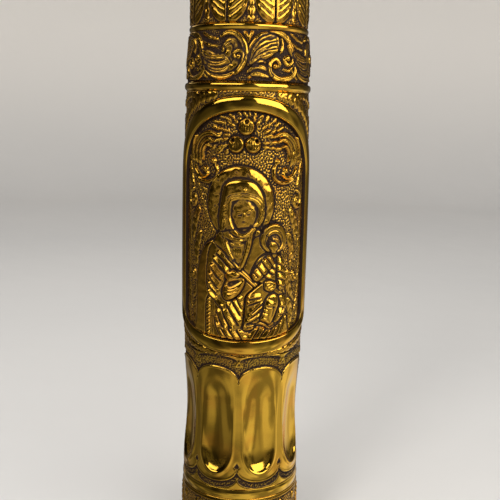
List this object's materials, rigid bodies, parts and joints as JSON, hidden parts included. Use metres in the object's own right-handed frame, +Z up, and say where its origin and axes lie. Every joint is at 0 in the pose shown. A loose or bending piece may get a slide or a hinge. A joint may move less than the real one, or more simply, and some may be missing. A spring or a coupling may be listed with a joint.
{
  "type": "altar vase",
  "caption": "Tall narrow brass altar vase with fluted waist, arched embossed icon panels, scroll frieze, leaf neck and a lift-out water liner.",
  "frame": {"origin": "middle of the foot's underside, on the surface that the vase stands on", "axes": "+Z up the vase's axis towards the mouth, -Y out through the front icon panel, +X to the right as the icon is faced"},
  "size_m": [0.096, 0.096, 0.421],
  "materials": {
    "polished_brass": "polished brass with brown in its hollows",
    "chased_brass": "chased brass, bright on the high relief and dark brown in the ground",
    "dull_brass": "unpolished brass",
    "liner_brass": "satin spun brass",
    "screw_steel": "plain steel"
  },
  "bodies": {
    "vase": {"foot_ring": "polished_brass", "base_plate": "dull_brass", "base_screw_1": "screw_steel", "base_screw_2": "screw_steel", "base_screw_3": "screw_steel", "base_drum": "chased_brass", "lower_ring": "polished_brass", "fluted_waist": "polished_brass", "waist_coupling": "dull_brass", "icon_drum": "chased_brass", "icon_frame_front": "polished_brass", "icon_frame_back": "polished_brass", "icon_plaque_front": "chased_brass", "icon_plaque_back": "chased_brass", "shoulder_ring": "polished_brass", "frieze_sleeve": "chased_brass", "neck_ring": "polished_brass", "neck_sleeve": "chased_brass", "mouth_rim": "polished_brass"},
    "liner": {"liner_cup": "liner_brass"}
  },
  "joints": [
    {"name": "liner_lift", "type": "slide", "parent": "vase", "child": "liner", "axis": [0, 0, 1], "range_m": [0, 0.2]}
  ]
}
